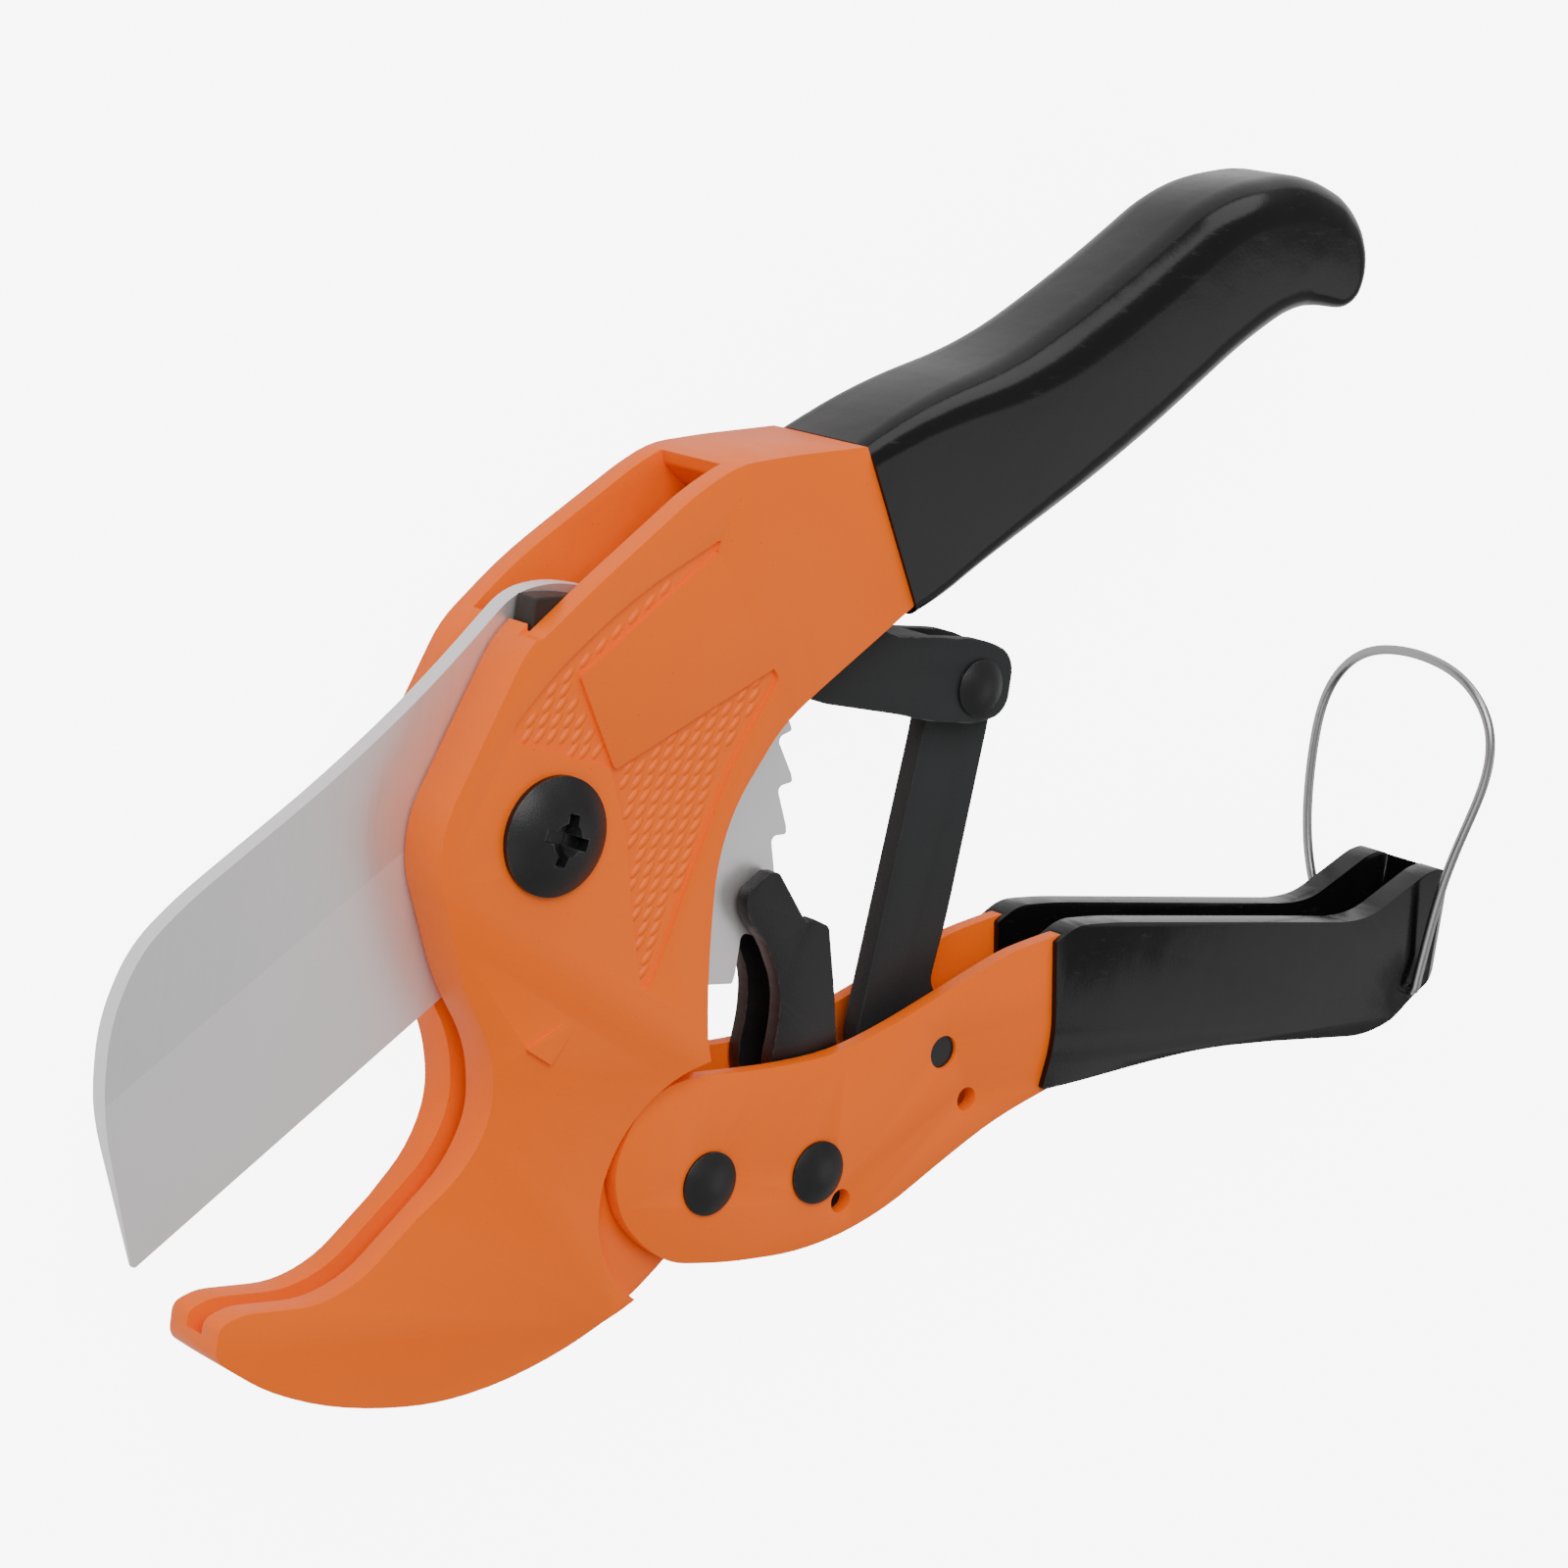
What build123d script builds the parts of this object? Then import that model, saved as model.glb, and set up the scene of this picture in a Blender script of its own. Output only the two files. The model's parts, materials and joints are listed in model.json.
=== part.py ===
from build123d import *
from math import cos, hypot, radians, sin
import os

# Ratchet pipe cutter, lying flat. X runs along the handles, Z is the axis of every pivot.
# Shapes are drawn about the blade's mid-plane, with the main pivot at X = Y = 0, and are
# lifted by mid_height when they are saved, so that the nut's outer face is at Z = 0.

# Driving dimensions, in millimetres and degrees.
casting_half = 8.8        # half the thickness of the casting at the pivot
jaw_half = 5.0            # half the thickness of the hooked jaw
wall = 3.2                # side walls of the casting
blade_thickness = 2.6
blade_edge_land = 0.3     # thickness left at the cutting edge
grind_width = 20.0        # width of the ground bevel
blade_reach = 69.5        # pivot to blade tip
edge_offset = 12.9        # pivot to the line of the cutting edge
edge_heading = 218.4      # direction of the cutting edge, from pivot to tip
close_angle = 30.0        # blade travel from rest to closed
rack_radius = 43.4        # tips of the ratchet teeth
tooth_depth = 2.5
tooth_pitch = 8.9         # degrees from tooth to tooth
tooth_count = 10
first_tooth = -29.2       # direction of the lowest tooth
guide_radius = 28.0
screw_diameter = 8.0
screw_head_diameter = 14.7
screw_head_height = 3.2
washer_diameter = 16.0
washer_thickness = 1.2
nut_flats = 13.0
nut_height = 8.0
nut_hex_height = 5.6
bush_diameter = 12.0
lever_inner = 4.7         # mid-plane to the inner face of a lever cheek
lever_sheet = 2.0
sleeve_wall = 0.9         # dipped coat on the lever
grip_half = 9.3           # half the thickness of the fixed grip
grip_length = 90.3
grip_coat = 2.6           # dipped coat on the fixed grip's tang
grip_round = 3.2
lever_reach = 170.6       # pivot to the end of the lever
rivet_diameter = 6.0
rivet_head_diameter = 8.3
rivet_head_height = 1.5
elbow_pin_diameter = 4.6
elbow_head_diameter = 7.5
knee_pin_diameter = 4.4
arm_bar_half = 1.5        # half the thickness of the lower knee arm
arm_width = 11.3
arm_inner = 2.5           # mid-plane to the inner face of an upper arm cheek
arm_sheet = 2.0
body_pin_diameter = 5.0
knee_slip = 1.6           # how far the knee's free end drifts about its pin
pawl_inner = 2.2
pawl_sheet = 2.0
wire_diameter = 1.4
spring_wire = 1.0
panel_depth = 0.6         # recess around the label plate
dent_depth = 0.6          # where the bail's legs enter the lever
dent_radius = 5.5
tail_round = 5.9          # corners of the lever's end, seen from above

# Pivot places.
lever_pivot = (34.0, -45.4)
pawl_pivot = (52.1, -45.1)
knee_pivot = (71.4, -30.1)
elbow = (70.0, 18.0)
body_pin = (42.0, 24.5)
bail_pivot = (163.0, -24.6)

# Clearances.
running = 0.05            # radial, shaft in hole
gap = 0.3                 # between faces that slide past each other
swing_room = 0.8          # beyond the edge of a swinging piece
seat = 0.02               # between pieces that are fastened together

# Sizes that follow.
blade_half = blade_thickness / 2
slot_half = blade_half + gap
cavity_half = casting_half - wall
lever_outer = lever_inner + lever_sheet
sleeve_outer = lever_outer + sleeve_wall
arm_outer = arm_inner + arm_sheet
pawl_outer = pawl_inner + pawl_sheet
lug_half = lever_inner - 0.5
mid_height = casting_half + washer_thickness + nut_height
grip_heading = 31.0
grip_start = (47.5, 37.0)
lug_radius = 9.0          # the casting's lug inside the lever
cheek_hub = 16.4          # reach of the lever's cheeks about their pivot


def rounded(points):
    """Radii for a polygon: a third number is the radius, else the corner is as round as fits."""
    radii = []
    for i, point in enumerate(points):
        before = points[i - 1]
        after = points[(i + 1) % len(points)]
        back = (before[0] - point[0], before[1] - point[1])
        ahead = (after[0] - point[0], after[1] - point[1])
        shorter = min(hypot(*back), hypot(*ahead))
        dot = (back[0] * ahead[0] + back[1] * ahead[1]) / (hypot(*back) * hypot(*ahead))
        half_tangent = (max(1 + dot, 1e-9) / max(1 - dot, 1e-9)) ** 0.5
        largest = 0.47 * shorter / max(half_tangent, 1e-3)
        radii.append(min(point[2], largest) if len(point) > 2 else min(largest, 300.0))
    return radii


def plate(points, low, high):
    """A flat plate between two heights, its outline a polygon with rounded corners."""
    corners = [(p[0], p[1]) for p in points]
    face = make_face(FilletPolyline(*corners, radius=rounded(points), close=True))
    return Pos(0, 0, low) * extrude(face, high - low, dir=(0, 0, 1))


def disc(place, radius, low, high):
    """A round bar along Z at a place in the plane."""
    return Pos(place[0], place[1], (low + high) / 2) * Cylinder(radius, high - low)


def ring(place, outer, inner, low, high):
    """A washer or a tube along Z."""
    return disc(place, outer, low, high) - disc(place, inner, low - 1, high + 1)


def block(low, high):
    """A box from its lowest to its highest corner."""
    size = [b - a for a, b in zip(low, high)]
    middle = [(a + b) / 2 for a, b in zip(low, high)]
    return Pos(*middle) * Box(*size)


def mirrored(shape):
    """A shape together with its copy on the far side of the mid-plane."""
    return shape + mirror(shape, about=Plane.XY)


def polar(radius, heading):
    """A point at a distance and direction from the main pivot."""
    return (radius * cos(radians(heading)), radius * sin(radians(heading)))


def on_grip(along, across):
    """A point given along and across the fixed grip."""
    c, s = cos(radians(grip_heading)), sin(radians(grip_heading))
    return (grip_start[0] + along * c - across * s, grip_start[1] + along * s + across * c)


def save(name, shape):
    """Lift a piece to its place above the bench and write it."""
    export_step(Pos(0, 0, mid_height) * shape, f"parts/{name}.step")


def coil(place, radius, wire, low, turns):
    """A coil of round wire about Z."""
    pitch = wire * 1.15
    path = Helix(pitch, pitch * turns, radius)
    section = Plane(path @ 0, z_dir=path % 0) * Circle(wire / 2)
    return Pos(place[0], place[1], low + wire / 2) * sweep(section, path=path)


def rivet(place, shank, head, head_height, reach):
    """A pin through both cheeks with a low dome at each end."""
    dome = Pos(place[0], place[1], reach) * low_dome(head / 2, head_height)
    return disc(place, shank / 2, -reach - 0.1, reach + 0.1) + mirrored(dome)


def low_dome(radius, height):
    """A round head: a short rim under a shallow cap, standing on Z = 0."""
    rise = height * 0.75
    ball = (radius**2 + rise**2) / (2 * rise)
    return disc((0, 0), radius, 0, height) & Pos(0, 0, height - ball) * Sphere(ball)


# ---- the casting ----
front_rim = [(-9.6, -18.6), (-13.0, -11.1), (-15.9, -5.0), (-16.1, 1.2), (-9.6, 17.0), (-7.4, 22.2)]
top_edge = [(0.5, 30.4), (8.2, 36.3), (16.7, 42.7), (21.0, 45.2), (29.0, 46.7), on_grip(0.0, 13.3) + (0.3,)]
screw_side_edge = [
    (-14.0, 20.4, 0.2), (-8.6, 20.6, 0.5), (-7.6, 23.0, 0.6), (-5.4, 23.4, 0.8), (1.1, 29.5), (15.6, 42.1),
    (19.5, 48.0, 0.2), (-14.0, 48.0, 0.2),
]
gusset = [(0.9, -26.3, 0.2), (9.4, -21.0, 0.3), (4.8, -28.3, 0.2)]
throat = [
    (-35.9, -58.6, 1.6), (-33.0, -57.3), (-22.4, -57.2), (-16.6, -54.6),
    (-4.3, -42.0), (-1.7, -35.2), (-3.3, -27.0),
]
belly = [
    (30.5, -56.0), (25.3, -60.8), (16.2, -66.0), (6.2, -69.6), (-3.1, -71.2),
    (-12.2, -70.9), (-20.6, -69.6), (-29.0, -66.8), (-35.9, -62.6, 2.2),
]
rear_edge = [
    on_grip(0.0, -9.4) + (0.3,), (37.8, 17.4), (33.2, 13.2), (27.6, 3.6), (26.0, -4.0),
    (27.0, -17.0), (29.1, -28.6), (34.0, -36.0), (36.0, -50.0),
]
label_corners = [(19.8, 34.9), (0.9, 19.0), (8.0, 7.9), (31.1, 20.8)]
panel_corners = [
    (19.7, 36.3, 1.0), (7.0, 28.6), (-3.5, 18.9), (-9.0, 11.5, 1.5), (7.2, 8.2, 2.0), (11.6, -1.0),
    (13.4, -9.0), (17.3, -20.9, 0.8), (19.6, -15.0), (21.9, -6.1), (26.2, 8.5), (31.8, 19.4, 1.0), (30.3, 21.0, 0.2),
    (19.2, 34.7, 0.2),
]
slope_start = 13.3        # where the casting begins to thin towards the jaw
slope_length = 33.5
slope_heading = (-0.4512, -0.8924)


def on_grip_direction():
    """The way the fixed grip runs."""
    return (cos(radians(grip_heading)), sin(radians(grip_heading)))


def grip_outline(inset, overrun):
    """The fixed grip's outline, drawn in by a distance for the tang inside it."""
    tail = grip_length
    points = [
        (-overrun, 13.5, 0.8), (12.0, 13.4), (30.0, 10.0), (50.0, 11.3), (tail - 21.0, 14.1), (tail - 7.0, 9.4),
        (tail, 2.2), (tail - 0.4, -6.4), (tail - 5.8, -10.6), (tail - 14.4, -5.4), (tail - 25.0, -5.7),
        (40.0, -9.5), (14.0, -10.7), (4.0, -11.5), (-overrun, -9.9, 0.8),
    ]
    drawn = []
    for point in points:
        along = min(point[0], tail - inset - 0.3 * abs(point[1]) * (inset > 0) * (point[0] > tail - 8))
        across = point[1] - inset if point[1] > 0 else point[1] + inset
        drawn.append(on_grip(along, across) + tuple(point[2:]))
    return drawn


def casting_blank():
    """The casting before its hollows are cut: its outline, thinned towards the jaw."""
    start, stop = slope_start, slope_start + slope_length
    upper = [(-200, casting_half), (start, casting_half), (stop, jaw_half), (120, jaw_half)]
    lower = [(s, -z) for s, z in reversed(upper)]
    across = Plane((0, 0, 0), x_dir=(*slope_heading, 0), z_dir=(slope_heading[1], -slope_heading[0], 0))
    envelope = extrude(across * make_face(Polyline(*upper, *lower, close=True)), 200, both=True)
    return plate(rear_edge + belly + throat + front_rim + top_edge, -casting_half, casting_half) & envelope


def blade_slot():
    """The plane slot that the rack, the hub and the closing blade sweep through."""
    closed = edge_heading + 90 + close_angle
    normal = Plane((0, 0, 0), x_dir=(cos(radians(closed)), sin(radians(closed)), 0), z_dir=(0, 0, 1))
    room = edge_offset + swing_room
    half_plane = normal * block((-200, -200, -slot_half), (room, 200, slot_half))
    reach = disc((0, 0), blade_reach + swing_room, -slot_half, slot_half)
    below = block((-200, -200, -slot_half), (200, 8, slot_half))
    return disc((0, 0), rack_radius + 1.9, -slot_half, slot_half) + (reach & half_plane & below)


def cavity():
    """The hollow between the walls, open at the top edge and along the rear edge."""
    points = [
        (-5.0, 23.4, 0.5), (-6.5, 34.0, 0.5), (17.5, 54.0, 0.5), (20.8, 43.2, 1.2), (26.0, 39.6), (46.0, 38.6),
        (75.5, 42.5, 2.0), (78.0, 26.0, 0.5), (48.0, 8.0, 0.5), (40.0, -12.5, 0.5), (2.0, -12.5), (-8.5, -4.0),
        (-8.5, 9.0),
    ]
    return plate(points, -cavity_half, cavity_half)


def body_casting():
    shape = casting_blank() - plate(screw_side_edge, cavity_half - 0.4, casting_half + 1)
    shape += mirrored(plate(gusset, cavity_half, casting_half - 0.45))
    shape += plate(grip_outline(grip_coat, 4.0), -grip_half + grip_coat, grip_half - grip_coat)
    shape += disc(lever_pivot, lug_radius, -lug_half, lug_half)
    shape -= blade_slot()
    shape -= cavity()
    shape -= mirrored(disc(lever_pivot, cheek_hub + gap + swing_room / 2, lug_half, casting_half + 1))
    shape -= disc(lever_pivot, rivet_diameter / 2 + running, -20, 20)
    shape -= disc((0, 0), screw_diameter / 2 + running, -20, 20)
    shape -= disc(body_pin, body_pin_diameter / 2 + seat, -cavity_half - 1.6, cavity_half + 1.6)
    panel = plate(panel_corners, casting_half - panel_depth, casting_half + 1)
    label = plate([(x, y, 0.6) for x, y in label_corners], casting_half - panel_depth - 1, casting_half + 2)
    shape -= mirrored(panel - label)
    return shape


def fixed_handle_sleeve():
    shape = plate(grip_outline(0, 8.0), -grip_half, grip_half)
    rims = shape.faces().sort_by(Axis.Z)
    shape = fillet(rims[0].edges() + rims[-1].edges(), grip_round)
    collar_end = Plane((*grip_start, 0), x_dir=(*on_grip_direction(), 0), z_dir=(0, 0, 1))
    shape -= collar_end * block((-60, -60, -60), (0, 60, 60))
    shape -= plate(grip_outline(grip_coat, 4.0), -grip_half + grip_coat, grip_half - grip_coat)
    return shape - cavity()


# ---- blade and main pivot ----
def blade_outline():
    edge = (cos(radians(edge_heading)), sin(radians(edge_heading)))
    normal = (-edge[1], edge[0])
    tip_along = (blade_reach**2 - edge_offset**2) ** 0.5
    tip = (edge[0] * tip_along + normal[0] * edge_offset, edge[1] * tip_along + normal[1] * edge_offset)
    heel = (edge[0] * 17.0 + normal[0] * edge_offset, edge[1] * 17.0 + normal[1] * edge_offset)
    back = [
        (16.0, 28.6, 4.0), (11.0, 27.6), (6.6, 28.6), (1.0, 29.0), (-4.6, 27.6), (-15.0, 15.9), (-26.7, 5.1),
        (-44.7, -9.0), (-50.2, -14.6), (-53.1, -22.9), (-52.7, -33.2), tip + (0.6,),
    ]
    rack = []
    root_radius = rack_radius - tooth_depth
    for number in range(tooth_count):
        heading = first_tooth + number * tooth_pitch
        if number:
            rack.append(polar(root_radius, heading - 0.5) + (0.8,))
        rack.append(polar(rack_radius, heading) + (0.35,))
        rack.append(polar(rack_radius - 0.3, heading + 1.5) + (0.6,))
    rack.append(polar(root_radius, first_tooth + tooth_count * tooth_pitch) + (0.4,))
    return back + [heel + (6.0,), (8.0, polar(rack_radius, first_tooth)[1])] + rack


def blade():
    shape = plate(blade_outline(), -blade_half, blade_half)
    heading = radians(edge_heading)
    across = Plane(
        (10 * cos(heading), 10 * sin(heading), 0),
        x_dir=(-sin(heading), cos(heading), 0),
        z_dir=(cos(heading), sin(heading), 0),
    )
    land = blade_edge_land / 2
    wedge = Polyline(
        (edge_offset - grind_width, blade_half), (edge_offset, land), (edge_offset + 2, land),
        (edge_offset + 2, blade_half + 1), (edge_offset - grind_width, blade_half + 1), close=True,
    )
    shape -= mirrored(extrude(across * make_face(wedge), 90, dir=across.z_dir))
    return shape - disc((0, 0), bush_diameter / 2 + running, -5, 5)


def blade_guide():
    low, high = slot_half, cavity_half - 0.2
    inner = [
        (-4.6, 60.0, 0.5), (-4.6, 23.2, 0.5), (-8.1, 9.0), (-8.1, -3.8), (2.2, -12.1), (60.0, -12.1, 0.5),
        (60.0, 60.0, 0.5),
    ]
    shape = plate(inner, low, high) & disc((0, 0), guide_radius, low, high)
    return shape - disc((0, 0), bush_diameter / 2 + seat, -10, 10)


def pivot_screw():
    head = Pos(0, 0, casting_half) * low_dome(screw_head_diameter / 2, screw_head_height)
    shank = disc((0, 0), screw_diameter / 2, -mid_height, casting_half + 0.1)
    shank = chamfer(shank.faces().sort_by(Axis.Z)[0].edges(), 0.8)
    depth = 2.3
    wing = Pos(0, 0, casting_half + screw_head_height - depth / 2) * Box(6.4, 1.5, depth + 0.2)
    core = Pos(0, 0, casting_half + screw_head_height - depth / 2) * Cone(1.0, 2.3, depth + 0.4)
    recess = core + wing + Rot(0, 0, 90) * wing
    return head + shank - Rot(0, 0, -12) * recess


def pivot_washer():
    low = -casting_half - washer_thickness
    return ring((0, 0), washer_diameter / 2, screw_diameter / 2 + running, low, -casting_half)


def nut_body():
    top = -casting_half - washer_thickness
    hexagon = RegularPolygon(nut_flats / 2, 6, major_radius=False)
    hex_part = Pos(0, 0, top - nut_hex_height) * extrude(hexagon, nut_hex_height)
    blunt = Pos(0, 0, top - nut_hex_height / 2) * Cone(nut_flats * 0.54, nut_flats * 0.62, nut_hex_height)
    collar = disc((0, 0), nut_flats / 2 - 0.5, -mid_height, top - 1)
    bore = disc((0, 0), screw_diameter / 2 + seat, -30, 0)
    pocket = disc((0, 0), nut_flats / 2 - 1.4, -mid_height + 0.5, -mid_height + 2.2)
    mouth = disc((0, 0), screw_diameter / 2 + 0.5, -mid_height - 1, -mid_height + 1)
    return (hex_part & blunt) + collar - bore - pocket - mouth


def nut_ring():
    return ring((0, 0), nut_flats / 2 - 1.4 - seat, screw_diameter / 2 + seat, -mid_height + 0.52, -mid_height + 2.18)


def pivot_bush():
    reach = cavity_half - 0.1
    return ring((0, 0), bush_diameter / 2, screw_diameter / 2 + running, -reach, reach)


def blade_spring():
    radius = bush_diameter / 2 + gap + spring_wire
    low = -cavity_half + gap
    return coil((0, 0), radius, spring_wire, low, 2.6)


# ---- lever ----
lever_upper = [
    (18.2, -43.2), (20.4, -36.1), (24.2, -32.6), (29.4, -31.4), (42.3, -30.9), (52.3, -29.6),
    (60.8, -26.5), (73.0, -20.7), (80.6, -17.1), (86.0, -15.6),
]
lever_lower = [
    (82.8, -39.7), (74.4, -44.8), (65.6, -50.6), (57.9, -53.9), (50.1, -55.7), (39.0, -56.2),
    (29.7, -55.6), (25.0, -53.2), (20.6, -49.4),
]


def lever_grip_top(drop):
    tail = lever_reach
    return [
        (91.8, -13.3 - drop), (98.5, -13.0 - drop), (tail - 24.0, -14.1 - drop), (tail - 19.2, -13.3 - drop),
        (tail - 8.4, -7.0 - drop), (tail - 5.2, -6.4 - drop), (tail - 2.6 - 0.5 * drop, -8.6 - drop),
        (tail - drop, -16.2),
    ]


def lever_grip_bottom(lift):
    tail = lever_reach
    return [
        (tail - lift, -19.4), (tail - 5.4 - 0.6 * lift, -24.8 + 0.6 * lift), (tail - 11.4, -29.2 + lift),
        (tail - 17.4, -31.0 + lift), (134.0, -31.0 + lift), (120.6, -31.4 + lift), (107.9, -33.1 + lift),
        (96.6, -35.0 + lift),
    ]


def lever_plan(low, high):
    """The whole cheek, from the hub to the end of the lever."""
    points = lever_upper + lever_grip_top(sleeve_wall) + lever_grip_bottom(sleeve_wall) + lever_lower
    return plate(points, low, high)


def channel(lift, half):
    """The room inside the lever, open at its upper side and at the hub."""
    tail = lever_reach - lift - sleeve_wall
    floor = [(x, y + lever_sheet) for x, y in lever_grip_bottom(sleeve_wall + lift)[1:]]
    floor = [(tail - lever_sheet + 0.2, -17.5), (tail - lever_sheet - 4.6, -21.6)] + floor[1:]
    front = [(88.0, -36.9 + lever_sheet + lift), (82.8, -37.2 + lift), (74.4, -42.3 + lift), (66.0, -48.0 + lift)]
    points = [(0.0, 20.0, 0.5), (tail - 3.4, 20.0, 0.5), (tail - 3.0, -8.0)] + floor + front[1:]
    return plate(points + [(63.0, -80.0, 0.5), (0.0, -80.0, 0.5)], -half, half)


def tail_plan(end, half, corner):
    """Everything up to the end of the lever, with its corners rounded as seen from above."""
    points = [(-50, -half), (end, -half), (end, half), (-50, half)]
    face = make_face(FilletPolyline(*points, radius=[0.01, corner, corner, 0.01], close=True))
    return extrude(Plane.XZ * face, 120, both=True)


def bail_dents():
    """Shallow round dents outside the lever where the bail's legs go in."""
    room = Pos(*bail_pivot, sleeve_outer - dent_depth / 2) * Cone(0.3, dent_radius, dent_depth)
    return mirrored(room) + disc(bail_pivot, wire_diameter / 2 + running, -20, 20)


def lever():
    shape = lever_plan(-lever_outer, lever_outer)
    shape &= tail_plan(lever_reach - sleeve_wall, lever_outer, tail_round - sleeve_wall)
    shape -= channel(0, lever_inner) & tail_plan(lever_reach - 3.2, lever_inner, 2.4)
    for place, diameter in ((lever_pivot, rivet_diameter), (pawl_pivot, rivet_diameter)):
        shape -= disc(place, diameter / 2 + running, -20, 20)
    shape -= disc(knee_pivot, knee_pin_diameter / 2 + seat, -20, 20)
    for place in ((76.9, -36.7), (57.0, -49.3)):
        shape -= disc(place, 1.6, -20, 20)
    return shape - bail_dents()


def lever_sleeve():
    start = [(89.9, -35.9, 0.4), (91.0, -29.0), (88.4, -15.6, 0.4)]
    points = start + lever_grip_top(0) + lever_grip_bottom(0)
    shape = plate(points, -sleeve_outer, sleeve_outer) & tail_plan(lever_reach, sleeve_outer, tail_round)
    inner = lever_inner - sleeve_wall
    shape -= channel(sleeve_wall, inner) & tail_plan(lever_reach - 3.2 - sleeve_wall, inner, 1.6)
    return shape - lever() - bail_dents()


def spacers(place, outer, bore, low, high):
    """A pair of flat rings, one on each side of the mid-plane."""
    return mirrored(ring(place, outer, bore + running, low + seat, high - seat))


# ---- pawls ----
def drive_pawl():
    side = [
        (39.0, -6.2, 0.5), (40.6, -6.2, 0.8), (46.4, -12.9, 1.0), (47.6, -12.3, 0.5), (50.3, -13.3, 1.2),
        (53.0, -22.4), (54.8, -30.0), (59.2, -41.0), (60.2, -47.0), (58.8, -51.8, 2.0), (52.4, -52.2), (45.8, -47.6), (46.4, -37.5),
        (43.6, -32.0), (44.2, -26.0), (43.6, -21.0), (40.8, -16.4, 0.3), (39.6, -14.9, 0.5), (36.6, -12.2),
        (35.5, -9.0),
    ]
    nose = [
        (45.2, -11.0, 0.4), (46.6, -12.6, 0.4), (48.6, -13.0, 0.6), (49.4, -19.4, 1.0), (46.6, -18.6, 2.0),
    ]
    shape = mirrored(plate(side, pawl_inner, pawl_outer))
    shape += plate(nose, -pawl_inner, pawl_inner)
    return shape - disc(pawl_pivot, rivet_diameter / 2 + running, -20, 20)


def pawl_spring():
    return coil(pawl_pivot, rivet_diameter / 2 + running + spring_wire * 0.75, spring_wire, -1.9, 2.2)


def holding_pawl():
    nose = polar(rack_radius + 0.5, 48.0)
    points = [
        nose + (0.4,), (32.6, 28.6, 1.5), (38.6, 23.2), (43.5, 20.2), (46.4, 25.0), (43.5, 29.0),
        (36.0, 32.0), (30.6, 35.0, 0.6),
    ]
    shape = plate(points, -arm_bar_half, arm_bar_half) - disc((0, 0), rack_radius + 0.45, -5, 5)
    return shape - disc(body_pin, body_pin_diameter / 2 + running, -5, 5)


# ---- knee linkage ----
def knee_lower_arm():
    points = [
        (64.3, 12.7), (64.2, 19.0), (70.0, 23.8), (75.8, 19.0), (75.6, 12.7), (73.5, -13.3), (72.2, -22.0, 3.0),
        (76.6, -27.0), (76.8, -33.6), (71.4, -36.4), (63.4, -35.0), (60.3, -29.9),
    ]
    shape = plate(points, -arm_bar_half, arm_bar_half)
    for place, diameter in ((elbow, elbow_pin_diameter), (knee_pivot, knee_pin_diameter)):
        shape -= disc(place, diameter / 2 + running, -5, 5)
    return shape


def knee_upper_arm():
    hub = body_pin_diameter / 2 + knee_slip + gap + 2.2
    cheek = [
        (70.0, 24.3), (75.4, 22.4), (75.5, 14.8), (70.5, 13.2), (61.2, 13.5), (57.2, 14.2), (41.5, 15.7),
        (36.4, 19.0), (35.4, 25.0), (38.0, 31.0), (44.0, 31.4), (49.0, 27.2), (53.0, 24.3),
    ]
    shape = mirrored(plate(cheek, arm_inner, arm_outer))
    shape += plate(
        [(50.5, 22.4, 0.2), (50.5, 25.9, 0.2), (53.4, 24.3, 2.0), (61.7, 24.3, 0.2), (61.7, 22.3, 0.2)],
        -arm_outer + 0.2, arm_outer - 0.2,
    )
    shape -= disc(body_pin, hub - 2.2, -20, 20)
    return shape - disc(elbow, elbow_pin_diameter / 2 + running, -20, 20)


def body_pin_piece():
    reach = cavity_half + 1.5
    return disc(body_pin, body_pin_diameter / 2, -reach, reach)


def knee_pin_piece():
    reach = lever_outer - 0.5
    return disc(knee_pivot, knee_pin_diameter / 2, -reach, reach)


# ---- wire bail ----
def wire_bail():
    x, y = bail_pivot
    leg = sleeve_outer - dent_depth + wire_diameter / 2 + 0.35
    near_leg = FilletPolyline((x, y, 4.0), (x, y, leg), (x - 0.3, y + 5.0, leg + 0.6), radius=1.1)
    far_leg = FilletPolyline((x - 0.3, y + 5.0, -leg - 1.4), (x, y, -leg), (x, y, -4.0), radius=1.1)
    arch = Spline(
        near_leg @ 1, (x - 1.0, y + 17.0, 10.4), (x - 2.2, y + 29.6, 15.2), (x - 2.4, y + 38.0, 16.4),
        (x - 2.9, y + 44.6, 12.6), (x - 3.4, y + 47.3, 0.0), (x - 2.9, y + 44.6, -12.6), (x - 2.4, y + 36.0, -16.4),
        (x - 2.3, y + 22.3, -16.0), (x - 1.7, y + 11.8, -13.4), far_leg @ 0,
        tangents=[near_leg % 1, far_leg % 0],
    )
    path = near_leg + arch + far_leg
    section = Plane(path @ 0, z_dir=path % 0) * Circle(wire_diameter / 2)
    return sweep(section, path=path)


os.makedirs("parts", exist_ok=True)
save("body_casting", body_casting())
save("fixed_handle_sleeve", fixed_handle_sleeve())
save("blade", blade())
save("blade_guide", blade_guide())
save("pivot_screw", pivot_screw())
save("pivot_washer", pivot_washer())
save("pivot_nut", nut_body())
save("pivot_nut_ring", nut_ring())
save("pivot_bush", pivot_bush())
save("blade_spring", blade_spring())
save("lever", lever())
save("lever_sleeve", lever_sleeve())
save("lever_rivet", rivet(lever_pivot, rivet_diameter, rivet_head_diameter, rivet_head_height, lever_outer))
save("lever_washers", spacers(lever_pivot, 6.5, rivet_diameter / 2, lug_half, lever_inner))
save("pawl_rivet", rivet(pawl_pivot, rivet_diameter, rivet_head_diameter, rivet_head_height, lever_outer))
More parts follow.
